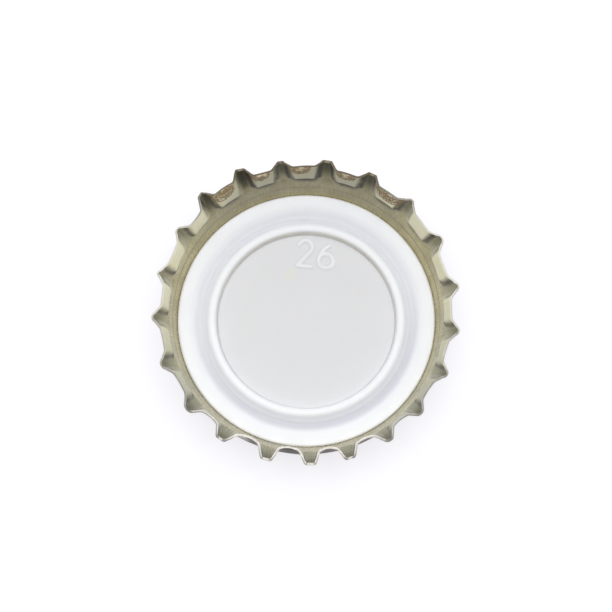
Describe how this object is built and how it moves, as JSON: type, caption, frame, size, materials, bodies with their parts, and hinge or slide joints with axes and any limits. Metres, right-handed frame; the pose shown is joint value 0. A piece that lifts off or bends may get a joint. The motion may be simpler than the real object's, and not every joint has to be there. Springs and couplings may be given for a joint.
{
  "type": "bottle cap",
  "caption": "Crown cork lying open side up: stamped metal shell with a fluted skirt, and a moulded white sealing liner inside.",
  "frame": {"origin": "centre of the panel's outer face, on which the cap lies", "axes": "+Z out of the open mouth, along the cap's axis; +X through the middle of a tooth"},
  "size_m": [0.0319, 0.032, 0.006],
  "materials": {
    "lacquered_tinplate": "thin sheet, pale gold lacquer inside and clear lacquer over bright metal outside",
    "liner_compound": "soft white compound, satin"
  },
  "bodies": {
    "root": {"crown_shell": "lacquered_tinplate", "liner": "liner_compound"}
  },
  "joints": []
}
